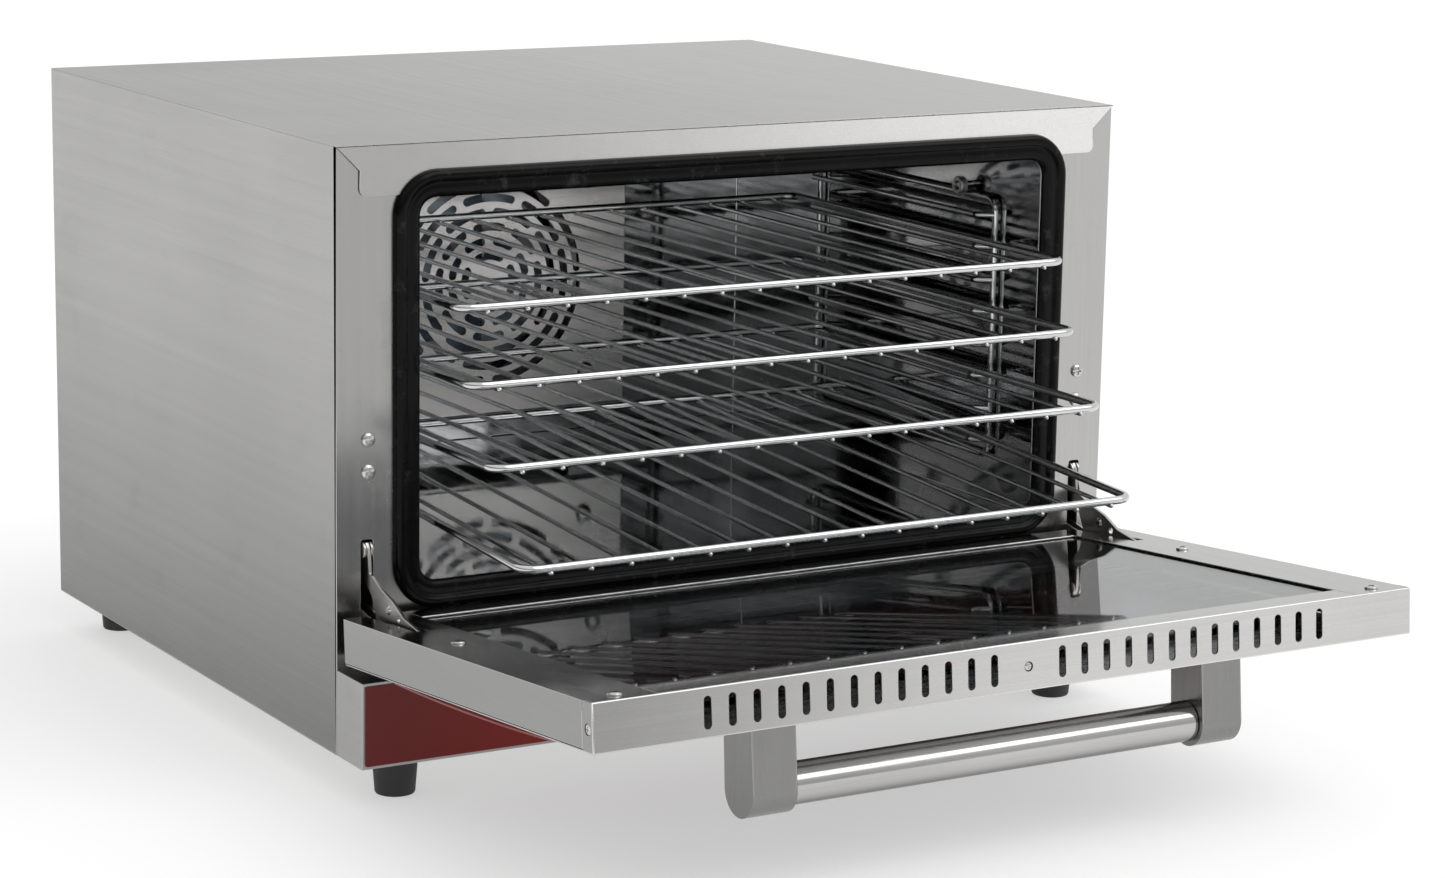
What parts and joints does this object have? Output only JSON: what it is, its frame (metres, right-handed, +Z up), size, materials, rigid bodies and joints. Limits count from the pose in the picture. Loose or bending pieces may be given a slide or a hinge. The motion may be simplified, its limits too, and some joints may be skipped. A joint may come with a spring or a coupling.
{
  "type": "countertop convection oven",
  "caption": "Stainless countertop convection oven with a drop-down glass door, sliding wire racks, a rear fan behind a slotted baffle, a bar handle and rubber feet.",
  "frame": {"origin": "on the surface that the oven stands on, under the middle of its footprint with the door open", "axes": "+Z up, +Y from the door towards the back, +X to the right of someone facing the door"},
  "size_m": [0.595, 0.8432, 0.42],
  "materials": {
    "brushed_steel": "fine horizontal brushed grain",
    "polished_steel": "semi-bright sheet with faint waves",
    "mirror_steel": "mirror polished",
    "satin_steel": "bright satin",
    "handle_steel": "brushed round the bar",
    "zinc_steel": "zinc plated",
    "chrome_wire": "bright plated wire",
    "element_sheath": "dark oxidised sheath",
    "dark_paint": "satin",
    "silicone": "satin silicone",
    "rubber": "moulded",
    "red_overlay": "smooth printed film",
    "black_plastic": "fine texture",
    "amber_lens": "translucent lens",
    "mineral_wool": "matted fibre",
    "clear_glass": "clear tempered glass"
  },
  "bodies": {
    "cabinet": {"casing_shell": "brushed_steel", "front_frame": "polished_steel", "cavity_liner": "mirror_steel", "insulation_wrap": "mineral_wool", "door_gasket": "silicone", "base_pan": "zinc_steel", "back_cover": "brushed_steel", "cable_gland": "black_plastic", "control_box": "brushed_steel", "control_overlay": "red_overlay", "thermostat_body": "dark_paint", "timer_body": "dark_paint", "heat_lamp": "amber_lens", "power_lamp": "amber_lens", "fan_baffle": "satin_steel", "baffle_nut_1": "chrome_wire", "baffle_nut_2": "chrome_wire", "baffle_nut_3": "chrome_wire", "baffle_nut_4": "chrome_wire", "heating_element": "element_sheath", "fan_motor": "dark_paint", "rack_support_left": "chrome_wire", "rack_support_right": "chrome_wire", "support_nut_left": "zinc_steel", "support_nut_right": "zinc_steel", "foot_front_left": "rubber", "foot_front_right": "rubber", "foot_rear_left": "rubber", "foot_rear_right": "rubber", "hinge_housing_left": "zinc_steel", "hinge_housing_right": "zinc_steel", "hinge_pin_left": "zinc_steel", "hinge_pin_right": "zinc_steel", "hinge_spring_left": "zinc_steel", "hinge_spring_right": "zinc_steel"},
    "door": {"door_outer_panel": "brushed_steel", "door_side_left": "brushed_steel", "door_side_right": "brushed_steel", "door_top_strip": "brushed_steel", "door_bottom_strip": "brushed_steel", "door_inner_glass": "clear_glass", "door_outer_glass": "clear_glass", "handle_bracket_left": "brushed_steel", "handle_bracket_right": "brushed_steel", "handle_bar": "handle_steel", "hinge_arm_left": "zinc_steel", "hinge_arm_right": "zinc_steel", "hinge_roller_left": "zinc_steel", "hinge_roller_right": "zinc_steel"},
    "rack_1": {"rack_1": "chrome_wire"},
    "rack_2": {"rack_2": "chrome_wire"},
    "rack_3": {"rack_3": "chrome_wire"},
    "rack_4": {"rack_4": "chrome_wire"},
    "fan": {"fan_wheel": "satin_steel", "fan_shaft": "zinc_steel"},
    "timer_knob": {"timer_knob": "black_plastic"},
    "thermostat_knob": {"thermostat_knob": "black_plastic"}
  },
  "joints": [
    {"name": "door_hinge", "type": "hinge", "parent": "cabinet", "child": "door", "pos_m": [0, -0.10879, 0.1038], "axis": [-1, 0, 0], "range_deg": [0, 85.3], "deforming": ["hinge_spring_left", "hinge_spring_right"]},
    {"name": "rack_1_slide", "type": "slide", "parent": "cabinet", "child": "rack_1", "axis": [0, 0.9987, 0.0506], "range_m": [0, 0.1336]},
    {"name": "rack_2_slide", "type": "slide", "parent": "cabinet", "child": "rack_2", "axis": [0, 1, 0], "range_m": [0, 0.095]},
    {"name": "rack_3_slide", "type": "slide", "parent": "cabinet", "child": "rack_3", "axis": [0, 1, 0], "range_m": [0, 0.063]},
    {"name": "rack_4_slide", "type": "slide", "parent": "cabinet", "child": "rack_4", "axis": [0, 1, 0], "range_m": [0, 0.047]},
    {"name": "fan_spin", "type": "hinge", "parent": "cabinet", "child": "fan", "pos_m": [0, 0.31731, 0.2595], "axis": [0, 1, 0], "continuous": true},
    {"name": "timer_turn", "type": "hinge", "parent": "cabinet", "child": "timer_knob", "pos_m": [0.19, -0.12769, 0.0563], "axis": [0, 1, 0], "range_deg": [0, 300]},
    {"name": "thermostat_turn", "type": "hinge", "parent": "cabinet", "child": "thermostat_knob", "pos_m": [0.07, -0.12769, 0.0563], "axis": [0, 1, 0], "range_deg": [0, 270]}
  ],
  "couplings": [
    {"joint": "rack_1_slide", "follows": "door_hinge", "m_per_rad": 0.089738},
    {"joint": "rack_2_slide", "follows": "door_hinge", "m_per_rad": 0.063811},
    {"joint": "rack_3_slide", "follows": "door_hinge", "m_per_rad": 0.042316},
    {"joint": "rack_4_slide", "follows": "door_hinge", "m_per_rad": 0.031569}
  ]
}
